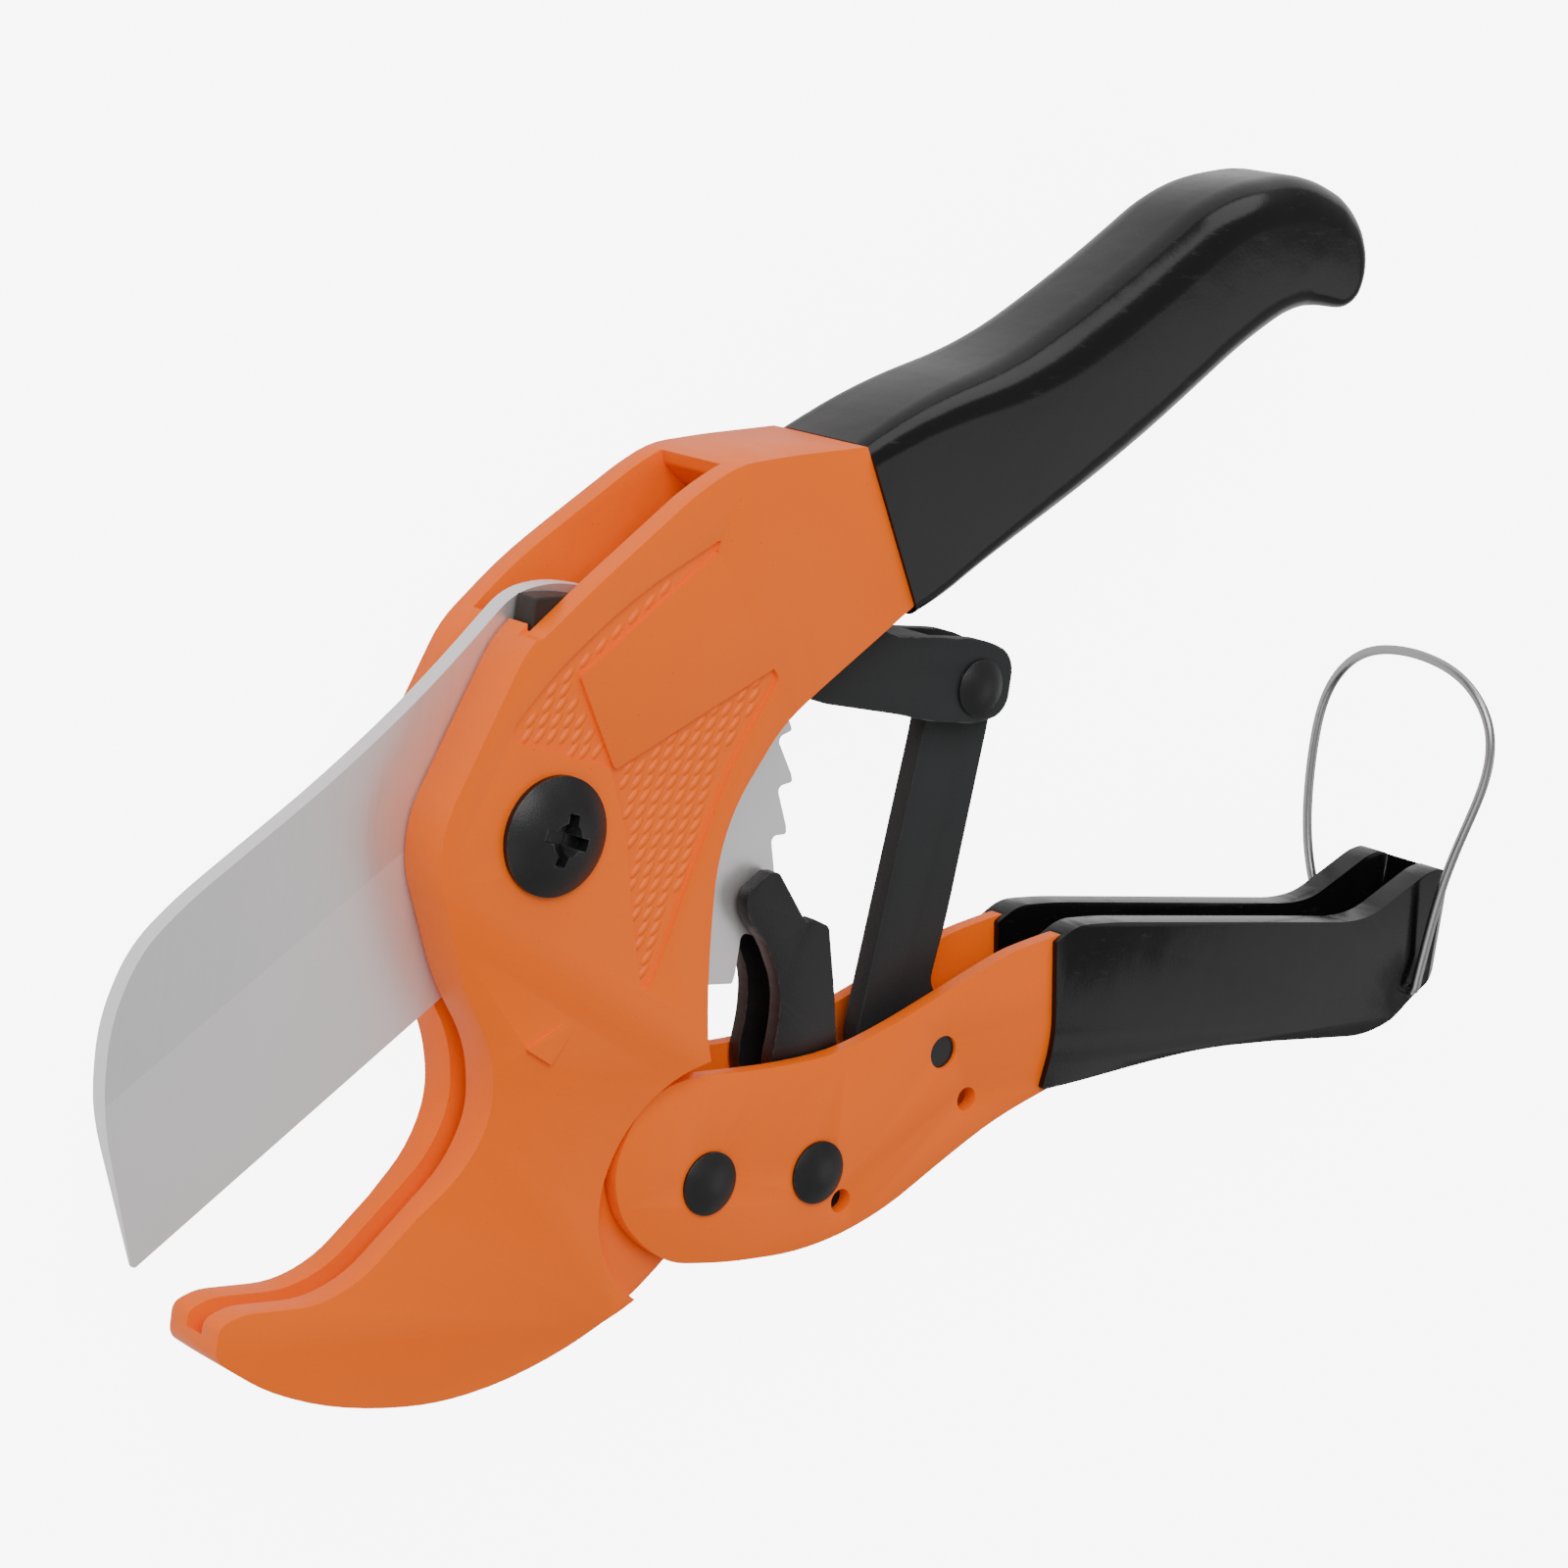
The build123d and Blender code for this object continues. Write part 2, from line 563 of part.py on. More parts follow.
save("pawl_washers", spacers(pawl_pivot, 5.5, rivet_diameter / 2, pawl_outer, lever_inner))
save("drive_pawl", drive_pawl())
save("pawl_spring", pawl_spring())
save("holding_pawl", holding_pawl())
save("knee_lower_arm", knee_lower_arm())
save("knee_upper_arm", knee_upper_arm())
save("elbow_rivet", rivet(elbow, elbow_pin_diameter, elbow_head_diameter, rivet_head_height, arm_outer))
save("elbow_washers", spacers(elbow, 4.6, elbow_pin_diameter / 2, arm_bar_half, arm_inner))
save("knee_body_pin", body_pin_piece())
save("knee_lever_pin", knee_pin_piece())
save("wire_bail", wire_bail())
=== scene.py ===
import json
from math import radians

import bmesh
import bpy
import numpy as np
from bpy.props import FloatProperty, FloatVectorProperty, IntProperty, PointerProperty
from mathutils import Matrix, Vector


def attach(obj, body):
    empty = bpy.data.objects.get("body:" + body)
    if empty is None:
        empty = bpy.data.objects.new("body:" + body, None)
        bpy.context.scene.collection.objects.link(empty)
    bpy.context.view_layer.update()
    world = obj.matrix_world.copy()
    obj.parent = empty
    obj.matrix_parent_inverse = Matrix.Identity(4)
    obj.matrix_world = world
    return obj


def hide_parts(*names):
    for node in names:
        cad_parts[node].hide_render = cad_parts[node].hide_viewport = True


bl_info = {
    "name": "Ratchet Pipe Cutter",
    "version": (1, 0, 0),
    "blender": (4, 5, 0),
    "location": "View3D > Sidebar > Pipe Cutter",
    "description": "Finishes and soft detail for a ratchet pipe cutter",
    "category": "Add Mesh",
}

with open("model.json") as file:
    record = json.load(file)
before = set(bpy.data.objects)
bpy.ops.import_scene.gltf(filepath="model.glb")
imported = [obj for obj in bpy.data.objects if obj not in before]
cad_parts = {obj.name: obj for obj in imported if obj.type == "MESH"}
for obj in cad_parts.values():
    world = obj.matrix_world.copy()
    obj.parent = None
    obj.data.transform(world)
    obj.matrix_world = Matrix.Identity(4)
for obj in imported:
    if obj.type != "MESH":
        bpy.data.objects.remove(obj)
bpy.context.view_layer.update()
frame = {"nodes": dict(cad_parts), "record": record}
NODES = frame["nodes"]
RECORD = frame["record"]
MM = 0.001
PIVOT_HEIGHT = next(j["pos_m"][2] for j in RECORD["behaviour"]["joints"] if j["name"] == "blade_hinge")
BAIL_PIVOT = next(j["pos_m"][:2] for j in RECORD["behaviour"]["joints"] if j["name"] == "bail_hinge")
SHARP = radians(32)
CASTING_HALF = 8.8 * MM
JAW_RIM = 4.5 * MM
GRIP_HALF = 9.3 * MM
GRIP_COLLAR = np.array((47.5, 37.0)) * MM
GRIP_HEADING = radians(31.0)
GRIP_ALONG = np.array((np.cos(GRIP_HEADING), np.sin(GRIP_HEADING)))
GRIP_ACROSS = np.array((-GRIP_ALONG[1], GRIP_ALONG[0]))
HOLLOW_HALF = 5.6 * MM


def slot_colour(name):
    """The record's base colour for a material slot, as red, green and blue."""
    return tuple(next(m["base_color"] for m in RECORD["materials"] if m["slot"] == name)[:3])


# ---------------------------------------------------------------- settings

class CutterFinishes(bpy.types.PropertyGroup):
    enamel: FloatVectorProperty(name="Enamel", description="Orange enamel on the casting",
                                subtype="COLOR", size=3, min=0, max=1, default=slot_colour("orange_paint"))
    vinyl: FloatVectorProperty(name="Vinyl", description="Dipped vinyl on both handles",
                               subtype="COLOR", size=3, min=0, max=1, default=slot_colour("black_grip"))
    steel: FloatVectorProperty(name="Blade steel", description="Ground steel of the blade",
                               subtype="COLOR", size=3, min=0, max=1, default=slot_colour("ground_blade"))
    lacquer: FloatVectorProperty(name="Lacquer", description="Black lacquer on lever and knee arms",
                                 subtype="COLOR", size=3, min=0, max=1, default=slot_colour("black_sheet"))
    oxide: FloatVectorProperty(name="Black oxide", description="Oiled finish of screw, rivets and pawls",
                               subtype="COLOR", size=3, min=0, max=1, default=slot_colour("black_oxide"))


class CutterDetail(bpy.types.PropertyGroup):
    casting_round: FloatProperty(name="Casting edges", description="Rounding of the casting's edges",
                                 default=1.7 * MM, unit="LENGTH")
    grip_round: FloatProperty(name="Grip edges", description="Largest rounding of the fixed grip",
                              default=6.0 * MM, unit="LENGTH")
    sleeve_round: FloatProperty(name="Sleeve rims", description="Rounding of the lever sleeve's rims",
                                default=1.5 * MM, unit="LENGTH")
    sheet_round: FloatProperty(name="Sheet edges", description="Rounding of stamped sheet edges",
                               default=0.28 * MM, unit="LENGTH")
    stitch_length: FloatProperty(name="Stitch length", description="Length of one raised dash of the panel",
                                 default=2.5 * MM, unit="LENGTH")
    stitch_width: FloatProperty(name="Stitch width", description="Width of one raised dash of the panel",
                                default=0.95 * MM, unit="LENGTH")
    stitch_height: FloatProperty(name="Stitch height", description="How far a dash stands out of the panel",
                                 default=0.34 * MM, unit="LENGTH")
    round_steps: IntProperty(name="Rounding steps", description="Facets across a rounded edge",
                             default=3, min=1, max=8)
    wire: FloatProperty(name="Wire", description="Diameter of the wire bail", default=1.4 * MM, unit="LENGTH")


class CutterStage(bpy.types.PropertyGroup):
    lens: FloatProperty(name="Lens", description="Focal length on a 36 mm sensor", default=95.43)
    floor_size: FloatProperty(name="Floor", description="Side of the floor", default=6.0, unit="LENGTH")
    key_power: FloatProperty(name="Key light", description="Power of the key light", default=13.5)
    fill_power: FloatProperty(name="Fill light", description="Power of the fill light", default=3.2)
    rim_power: FloatProperty(name="Rim light", description="Power of the light from behind", default=3.5)
    steel_power: FloatProperty(name="Steel light", description="Power of the light that the flat steel mirrors",
                               default=1.0)
    sky: FloatProperty(name="Sky", description="Brightness of the surroundings", default=0.42)
    paper_glow: FloatProperty(name="Paper glow", description="How bright the white backdrop looks", default=7.0)


# ---------------------------------------------------------------- shader writing

class Signal:
    """A shader socket. Arithmetic on it adds Math nodes."""

    def __init__(self, finish, socket):
        self.finish = finish
        self.socket = socket

    def calc(self, operation, first, second=None):
        values = {0: first} if second is None else {0: first, 1: second}
        return self.finish.node("ShaderNodeMath", {"operation": operation, "use_clamp": False}, values)

    def __add__(self, other):
        return self.calc("ADD", self, other)

    __radd__ = __add__

    def __sub__(self, other):
        return self.calc("SUBTRACT", self, other)

    def __mul__(self, other):
        return self.calc("MULTIPLY", self, other)

    __rmul__ = __mul__


class Finish:
    """A material whose nodes are written as expressions."""

    def __init__(self, name):
        self.material = bpy.data.materials.new(name)
        self.material.use_nodes = True
        self.tree = self.material.node_tree
        self.shader = self.tree.nodes["Principled BSDF"]
        self.place = self.node("ShaderNodeTexCoord", {}, {}, "Object")

    def node(self, kind, settings, values, output=0):
        """Add a node: settings first, then the values or links of its sockets."""
        made = self.tree.nodes.new(kind)
        for key, value in settings.items():
            if key == "stops":
                ramp = made.color_ramp
                while len(ramp.elements) < len(value):
                    ramp.elements.new(0.5)
                for element, (position, colour) in zip(ramp.elements, value):
                    element.position = position
                    element.color = colour
            else:
                setattr(made, key, value)
        self.fill(made, values)
        return Signal(self, made.outputs[output])

    def fill(self, made, values):
        for key, value in values.items():
            if isinstance(value, Signal):
                self.tree.links.new(value.socket, made.inputs[key])
            else:
                made.inputs[key].default_value = value

    def stretched(self, scale, turn=0.0):
        """Object coordinates, stretched and turned about Z."""
        return self.node("ShaderNodeMapping", {}, {"Vector": self.place, "Scale": scale, "Rotation": (0, 0, turn)})

    def noise(self, scale, detail=2.0, rough=0.5, where=None):
        """Cloudy noise, about 0.5 on average."""
        values = {"Vector": where or self.place, "Scale": scale, "Detail": detail, "Roughness": rough}
        return self.node("ShaderNodeTexNoise", {}, values)

    def band(self, value, low, high):
        """Zero below low, one above high, smooth between."""
        return self.node("ShaderNodeMapRange", {"interpolation_type": "SMOOTHSTEP"},
                         {"Value": value, "From Min": low, "From Max": high})

    def mix(self, mask, first, second):
        """A colour between two, by a mask."""
        return self.node("ShaderNodeMix", {"data_type": "RGBA"}, {0: mask, 6: first, 7: second}, 2)

    def bump(self, height, distance, strength=1.0, under=None):
        values = {"Height": height, "Distance": distance, "Strength": strength}
        if under:
            values["Normal"] = under
        return self.node("ShaderNodeBump", {}, values)

    def edges(self, radius):
        """How far the shading normal turns near an edge: one at a worn edge, zero on a flat."""
        soft = self.node("ShaderNodeBevel", {"samples": 6}, {"Radius": radius})
        true = self.node("ShaderNodeNewGeometry", {}, {}, "Normal")
        dot = self.node("ShaderNodeVectorMath", {"operation": "DOT_PRODUCT"}, {0: soft, 1: true}, "Value")
        return self.band(dot, 0.985, 0.86)

    def finish(self, **sockets):
        """Set the shader's sockets by name, with underscores for spaces."""
        self.fill(self.shader, {key.replace("_", " "): value for key, value in sockets.items()})
        return self.material


def rgba(colour, gain=1.0):
    return tuple(min(1.0, c * gain) for c in colour) + (1.0,)


def orange_enamel(colour):
    """Thick enamel over a casting: orange peel, soft clouding and a few specks of dust."""
    f = Finish("orange_enamel")
    clouds = f.noise(45.0, 3.0)
    peel = f.noise(1500.0, 2.0)
    sand = f.noise(5200.0, 2.0)
    specks = f.band(f.noise(2300.0, 1.0), 0.76, 0.8)
    deep = (colour[0], colour[1] * 1.1, colour[2] * 0.05)
    base = f.mix(clouds, rgba(deep, 1.1), rgba(deep, 1.19))
    base = f.mix(specks * 0.35, base, rgba((0.35, 0.06, 0.02)))
    rough = 0.30 + clouds * 0.14 + sand * 0.06 + specks * 0.1
    height = peel * 0.7 + sand * 0.25 + clouds * 0.5
    return f.finish(Base_Color=base, Roughness=rough, Normal=f.bump(height, 0.00006, 0.55),
                    Specular_IOR_Level=0.22, IOR=1.5)


def dipped_vinyl(colour):
    """Glossy black vinyl from a dip tank: slow waves, pin marks and faint scuffs."""
    f = Finish("dipped_vinyl")
    waves = f.noise(90.0, 2.0)
    fine = f.noise(1800.0, 2.0)
    scuffs = f.band(f.noise(300.0, 4.0, 0.7, f.stretched((1.0, 4.0, 1.0), 0.5)), 0.58, 0.7)
    base = f.mix(scuffs * 0.4, rgba(colour, 0.5), rgba((0.02, 0.02, 0.021)))
    rough = 0.13 + waves * 0.07 + scuffs * 0.14 + fine * 0.03
    height = waves * 3.0 + fine * 0.18
    return f.finish(Base_Color=base, Roughness=rough, Normal=f.bump(height, 0.0001, 0.5),
                    Specular_IOR_Level=0.3, IOR=1.5)


def ground_steel(colour):
    """Blade steel ground across its width: fine straight scratches, faint stains."""
    f = Finish("ground_steel")
    lines = f.noise(1400.0, 3.0, 0.6, f.stretched((1.0, 0.03, 1.0), radians(-52)))
    wide = f.noise(260.0, 2.0, 0.5, f.stretched((1.0, 0.05, 1.0), radians(-52)))
    stains = f.noise(60.0, 4.0, 0.6)
    base = f.mix(lines * 0.5 + stains * 0.4, rgba(colour, 1.3), rgba(colour, 1.55))
    tilt = f.node("ShaderNodeSeparateXYZ", {}, {"Vector": f.node("ShaderNodeNewGeometry", {}, {}, "Normal")}, "Z")
    bevel = f.band(tilt * tilt, 0.9999, 0.9975)
    base = f.mix(bevel * 0.6, base, rgba(colour, 1.7))
    rough = 0.3 + lines * 0.12 + wide * 0.08 + stains * 0.08 + bevel * 0.08
    return f.finish(Base_Color=base, Metallic=0.8, Roughness=rough,
                    Normal=f.bump(lines + wide * 0.6, 0.00003, 0.5))


def black_lacquer(name, colour, grain):
    """Satin lacquer on pressed steel, rubbed lighter on its edges."""
    f = Finish(name)
    clouds = f.noise(70.0, 3.0)
    sand = f.noise(grain, 2.0)
    rub = f.edges(0.0005) * f.band(f.noise(500.0, 3.0), 0.42, 0.62)
    base = f.mix(clouds, rgba(colour, 0.8), rgba(colour, 1.25))
    base = f.mix(rub * 0.55, base, rgba((0.16, 0.16, 0.16)))
    rough = 0.4 + clouds * 0.16 + sand * 0.08 - rub * 0.08
    return f.finish(Base_Color=base, Roughness=rough, Metallic=rub * 0.5,
                    Normal=f.bump(sand + clouds * 0.6, 0.00005, 0.5), Specular_IOR_Level=0.22)


def oxide_steel(colour):
    """Oiled black oxide: nearly black steel with turning marks worn a little at the edges."""
    f = Finish("oxide_steel")
    clouds = f.noise(220.0, 4.0, 0.6)
    sand = f.noise(3800.0, 2.0)
    rub = f.edges(0.0004) * f.band(f.noise(700.0, 3.0), 0.4, 0.6)
    base = f.mix(clouds, rgba(colour, 0.8), rgba(colour, 1.6))
    base = f.mix(rub * 0.5, base, rgba((0.14, 0.135, 0.13)))
    rough = 0.26 + clouds * 0.2 + sand * 0.06
    return f.finish(Base_Color=base, Metallic=0.55, Roughness=rough,
                    Normal=f.bump(sand + clouds, 0.00004, 0.5))


def turned_steel(name, colour, rough_base):
    """Plain turned or drawn steel."""
    f = Finish(name)
    lines = f.noise(900.0, 3.0, 0.6, f.stretched((1.0, 1.0, 8.0)))
    spots = f.noise(160.0, 3.0)
    base = f.mix(lines, rgba(colour, 0.85), rgba(colour, 1.1))
    rough = rough_base + lines * 0.12 + spots * 0.08
    return f.finish(Base_Color=base, Metallic=1.0, Roughness=rough, Normal=f.bump(lines, 0.00002, 0.5))


def natural_nylon(colour):
    f = Finish("natural_nylon")
    clouds = f.noise(240.0, 3.0)
    base = f.mix(clouds, rgba(colour, 0.9), rgba(colour, 1.05))
    return f.finish(Base_Color=base, Roughness=0.42 + clouds * 0.12, Normal=f.bump(clouds, 0.00004, 0.4),
                    Subsurface_Weight=0.0)


_made = {}


def finish_for(slot):
    """The material of a slot in the record, made once."""
    if slot not in _made:
        look = bpy.context.scene.cutter_finishes
        makers = {
            "orange_paint": lambda: orange_enamel(look.enamel),
            "black_grip": lambda: dipped_vinyl(look.vinyl),
            "ground_blade": lambda: ground_steel(look.steel),
            "black_sheet": lambda: black_lacquer("black_lacquer", look.lacquer, 2600.0),
            "black_guide": lambda: black_lacquer("guide_lacquer", slot_colour(slot), 1500.0),
            "black_oxide": lambda: oxide_steel(look.oxide),
            "plain_steel": lambda: turned_steel("turned_steel", slot_colour(slot), 0.3),
            "spring_steel": lambda: turned_steel("spring_steel", slot_colour(slot), 0.24),
            "bright_wire": lambda: turned_steel("bright_wire", slot_colour(slot), 0.2),
            "nylon": lambda: natural_nylon(slot_colour(slot)),
        }
        _made[slot] = makers[slot]()
    return _made[slot]


# ---------------------------------------------------------------- mesh writing

def slot_of(node):
    return next(s["material_slot"] for s in RECORD["subparts"] if s["node"] == node)


def body_with(node):
    """The body that a CAD node belongs to."""
    return next(body for body, members in RECORD["behaviour"]["bodies"].items() if node in members)


def dress(node):
    """Give a CAD node its finish."""
    mesh = NODES[node].data
    mesh.materials.clear()
    mesh.materials.append(finish_for(slot_of(node)))


def add_piece(name, mesh, node, replaced=True):
    """Link a finished mesh that rides with a CAD node's body and takes that node's finish."""
    piece = bpy.data.objects.new(name, mesh)
    bpy.context.scene.collection.objects.link(piece)
    mesh.materials.clear()
    mesh.materials.append(finish_for(slot_of(node)))
    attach(piece, body_with(node))
    if replaced:
        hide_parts(node)
    return piece


def rounded_copy(node, width, weigh=None):
    """A merged copy of a CAD node with its sharp edges rounded by a bevel. A weigh function gives each
    edge its share of the width, from the middle of the edge and the two normals beside it."""
    work = bmesh.new()
    work.from_mesh(NODES[node].data)
    bmesh.ops.remove_doubles(work, verts=work.verts, dist=2e-6)
    bmesh.ops.dissolve_limit(work, angle_limit=radians(0.6), verts=work.verts, edges=work.edges)
    if weigh:
        layer = work.edges.layers.float.new("bevel_weight_edge")
        for edge in work.edges:
            if len(edge.link_faces) == 2 and edge.calc_face_angle(0.0) > SHARP:
                middle = (edge.verts[0].co + edge.verts[1].co) / 2
                edge[layer] = weigh(middle, [face.normal for face in edge.link_faces])
    mesh = bpy.data.meshes.new(node + "_rounded")
    work.to_mesh(mesh)
    work.free()
    mesh.shade_smooth()
    piece = add_piece(node + "_rounded", mesh, node)
    bevel = piece.modifiers.new("rounding", "BEVEL")
    bevel.width = width
    bevel.segments = bpy.context.scene.cutter_detail.round_steps
    bevel.limit_method = "WEIGHT" if weigh else "ANGLE"
    bevel.angle_limit = SHARP
    bevel.harden_normals = True
    bevel.use_clamp_overlap = True
    bevel.miter_outer = "MITER_ARC"
    return piece


def casting_weight(middle, normals):
    """Full rounding on the outer rims of the casting, little in the hollows and round the panels."""
    level = middle.z - PIVOT_HEIGHT
    spot = np.array((middle.x, middle.y))
    if bool(inside(spot, shrunk(PANEL, -1.2 * MM))) and abs(level) > 7.6 * MM:
        return 0.18
    if middle.x < -4.5 * MM and middle.y > 19.0 * MM:
        return 0.3
    if (spot - GRIP_COLLAR) @ GRIP_ALONG > -1.5 * MM:
        return 0.12
    outer = any(abs(n.z) > 0.8 and n.z * level > 0 for n in normals)
    return 1.0 if outer and abs(level) > JAW_RIM else 0.25


def sleeve_weight(middle, normals):
    """Full rounding on the rims of the lever's sleeve, little at its front end."""
    at_front = middle.x < 92.5 * MM
    at_dent = abs(middle.x - BAIL_PIVOT[0]) < 6.5 * MM and abs(normals[0].z) > 0.9
    return 0.3 if at_front or at_dent else 1.0


def grid_mesh(name, points, close_across=False, close_along=False):
    """A quad surface from an array of points, rows by columns by 3."""
    rows, columns = points.shape[:2]
    row = np.arange(rows if close_along else rows - 1)
    column = np.arange(columns if close_across else columns - 1)
    r, c = np.meshgrid(row, column, indexing="ij")
    r2, c2 = (r + 1) % rows, (c + 1) % columns
    faces = np.stack([r * columns + c, r * columns + c2, r2 * columns + c2, r2 * columns + c], -1).reshape(-1, 4)
    mesh = bpy.data.meshes.new(name)
    mesh.from_pydata(points.reshape(-1, 3).tolist(), [], faces.tolist())
    mesh.shade_smooth()
    return mesh


def smooth_path(points, count):
    """A uniform cubic B-spline through control points whose ends are clamped."""
    knots = np.asarray(points, float)
    padded = np.vstack([2 * knots[0] - knots[1], knots, 2 * knots[-1] - knots[-2]])
    t = np.linspace(0, len(knots) - 1 - 1e-9, count)
    i = t.astype(int)
    u = (t - i)[:, None]
    weights = [(1 - u) ** 3, 3 * u**3 - 6 * u**2 + 4, -3 * u**3 + 3 * u**2 + 3 * u + 1, u**3]
    return sum(w * padded[i + k] for k, w in enumerate(weights)) / 6


def tube(path, radius, sides):
    """Rings of a round tube: at each path point a circle in the plane across the path. Its first
    direction is carried along from ring to ring and made square to the path, so it doesn't twist."""
    ahead = np.gradient(path, axis=0)
    ahead /= np.linalg.norm(ahead, axis=1)[:, None]
    side = [np.array((0.0, 1.0, 0.0))]
    for way in ahead:
        held = side[-1] - way * (side[-1] @ way)
        side.append(held / np.linalg.norm(held))
    side = np.array(side[1:])
    up = np.cross(side, ahead)
    angle = np.linspace(0, 2 * np.pi, sides, endpoint=False)
    circle = np.cos(angle)[None, :, None] * side[:, None] + np.sin(angle)[None, :, None] * up[:, None]
    rings = path[:, None] + radius * circle
    caps = [path[0] + share * (rings[0] - path[0]) for share in (0.0, 0.7)]
    tail = [path[-1] + share * (rings[-1] - path[-1]) for share in (0.7, 0.0)]
    return np.stack(caps + list(rings) + tail)


def outer_outline(node, level, count):
    """The longest outline of a CAD node at a height, as evenly spaced points that run anticlockwise."""
    work = bmesh.new()
    work.from_mesh(NODES[node].data)
    bmesh.ops.remove_doubles(work, verts=work.verts, dist=2e-6)
    cut = bmesh.ops.bisect_plane(work, geom=work.verts[:] + work.edges[:] + work.faces[:],
                                 plane_co=(0, 0, level), plane_no=(0, 0, 1))["geom_cut"]
    edges = {item for item in cut if isinstance(item, bmesh.types.BMEdge)}
    loops = []
    while edges:
        edge = edges.pop()
        start, now = edge.verts
        loop = [start.co.copy(), now.co.copy()]
        while now != start:
            edge = next((e for e in now.link_edges if e in edges), None)
            if edge is None:
                break
            edges.remove(edge)
            now = edge.other_vert(now)
            loop.append(now.co.copy())
        loops.append(np.array([tuple(p)[:2] for p in loop[:-1]]))
    work.free()
    outline = max(loops, key=lambda points: np.ptp(points[:, 0]))
    closed = np.vstack([outline, outline[:1]])
    length = np.concatenate([[0], np.cumsum(np.linalg.norm(np.diff(closed, axis=0), axis=1))])
    at = np.linspace(0, length[-1], count + 1)[:-1]
    outline = np.stack([np.interp(at, length, closed[:, k]) for k in (0, 1)], 1)
    x, y = outline.T
    return outline if (x * np.roll(y, -1) - np.roll(x, -1) * y).sum() > 0 else outline[::-1]


def prism(name, levels):
    """A closed mesh from rings of equal length, one above the other, with a face on each end."""
    count = len(levels[0])
    ring, column = np.meshgrid(np.arange(len(levels) - 1), np.arange(count), indexing="ij")
    after = (column + 1) % count
    sides = np.stack([ring * count + column, ring * count + after, (ring + 1) * count + after,
                      (ring + 1) * count + column], -1).reshape(-1, 4).tolist()
    top = (len(levels) - 1) * count
    mesh = bpy.data.meshes.new(name)
    mesh.from_pydata(np.vstack(levels).tolist(), [],
                     sides + [list(range(count))[::-1], list(range(top, top + count))])
    return mesh


def fixed_grip(largest):
    """The dipped grip as one soft skin: the CAD sleeve's outline, taken at a level clear of its hollow,
    is drawn in ring by ring. A ring is drawn in by r (1 - cos t) at height h - r (1 - sin t), with r
    small at the collar and at the end's lip and large along the rest."""
    outline = outer_outline("fixed_handle_sleeve", PIVOT_HEIGHT + 6.85 * MM, 420)
    smallest, widest = 3.0 * MM, 5.8 * MM
    along = (outline - GRIP_COLLAR) @ GRIP_ALONG
    lower = (outline - GRIP_COLLAR) @ GRIP_ACROSS < 0
    share = np.clip(along / (38.0 * MM), 0.0, 1.0)
    lip = np.exp(-((along - 83.0 * MM) / (9.0 * MM)) ** 2) * lower
    radius = (smallest + share * (largest - smallest)) * (1 - 0.62 * lip) * np.where(lower, 0.8, 1.0)
    radius = np.minimum(radius, widest)
    for _ in range(10):
        radius = (np.roll(radius, 1) + radius + np.roll(radius, -1)) / 3
    ahead = np.roll(outline, -2, axis=0) - np.roll(outline, 2, axis=0)
    inward = np.stack([-ahead[:, 1], ahead[:, 0]], 1)
    inward /= np.linalg.norm(inward, axis=1)[:, None]
    swell = 0.3 * np.maximum(radius - smallest, 0.0)
    outline = outline - inward * swell[:, None]
    half = GRIP_HALF + 0.5 * swell
    # The collar's end is drawn out past the collar, so that the cut below leaves it flat.
    outline = np.where((along < 0.6 * MM)[:, None], outline - GRIP_ALONG * 8.0 * MM, outline)
    rings = []
    for side in (-1, 1):
        for t in np.linspace(0, np.pi / 2, 9)[::side]:
            spot = outline + inward * (radius * (1 - np.cos(t)))[:, None]
            level = side * (half - radius * (1 - np.sin(t)))
            rings.append(np.column_stack([spot, PIVOT_HEIGHT + level]))
    mesh = prism("grip_skin", rings)
    hollow = np.array([(38.0, 34.0), (46.0, 38.6), (74.5, 42.4), (75.6, 41.6), (78.0, 26.0), (64.0, 8.0),
                       (38.0, 8.0)]) * MM
    ends = [np.column_stack([hollow, np.full(len(hollow), PIVOT_HEIGHT + z)]) for z in (-HOLLOW_HALF, HOLLOW_HALF)]
    work = bmesh.new()
    work.from_mesh(mesh)
    cut = bmesh.ops.bisect_plane(work, geom=work.verts[:] + work.edges[:] + work.faces[:], clear_inner=True,
                                 plane_co=(*GRIP_COLLAR, 0), plane_no=(*GRIP_ALONG, 0))["geom_cut"]
    bmesh.ops.contextual_create(work, geom=[e for e in cut if isinstance(e, bmesh.types.BMEdge)])
    work.to_mesh(mesh)
    work.free()
    return add_piece("grip_skin", cut_away(mesh, prism("grip_hollow", ends)), "fixed_handle_sleeve")


def cut_away(mesh, tool):
    """A closed mesh with another taken out of it, its sharp edges marked for shading."""
    made = []
    for name, data in (("cut_piece", mesh), ("cut_tool", tool)):
        work = bmesh.new()
        work.from_mesh(data)
        bmesh.ops.recalc_face_normals(work, faces=work.faces)
        work.to_mesh(data)
        work.free()
        made.append(bpy.data.objects.new(name, data))
        bpy.context.scene.collection.objects.link(made[-1])
    cut = made[0].modifiers.new("hollow", "BOOLEAN")
    cut.operation, cut.solver, cut.object = "DIFFERENCE", "EXACT", made[1]
    graph = bpy.context.evaluated_depsgraph_get()
    result = bpy.data.meshes.new_from_object(made[0].evaluated_get(graph))
    for item in made:
        bpy.data.objects.remove(item)
    result.name = mesh.name
    result.shade_smooth()
    result.set_sharp_from_angle(angle=radians(40))
    return result


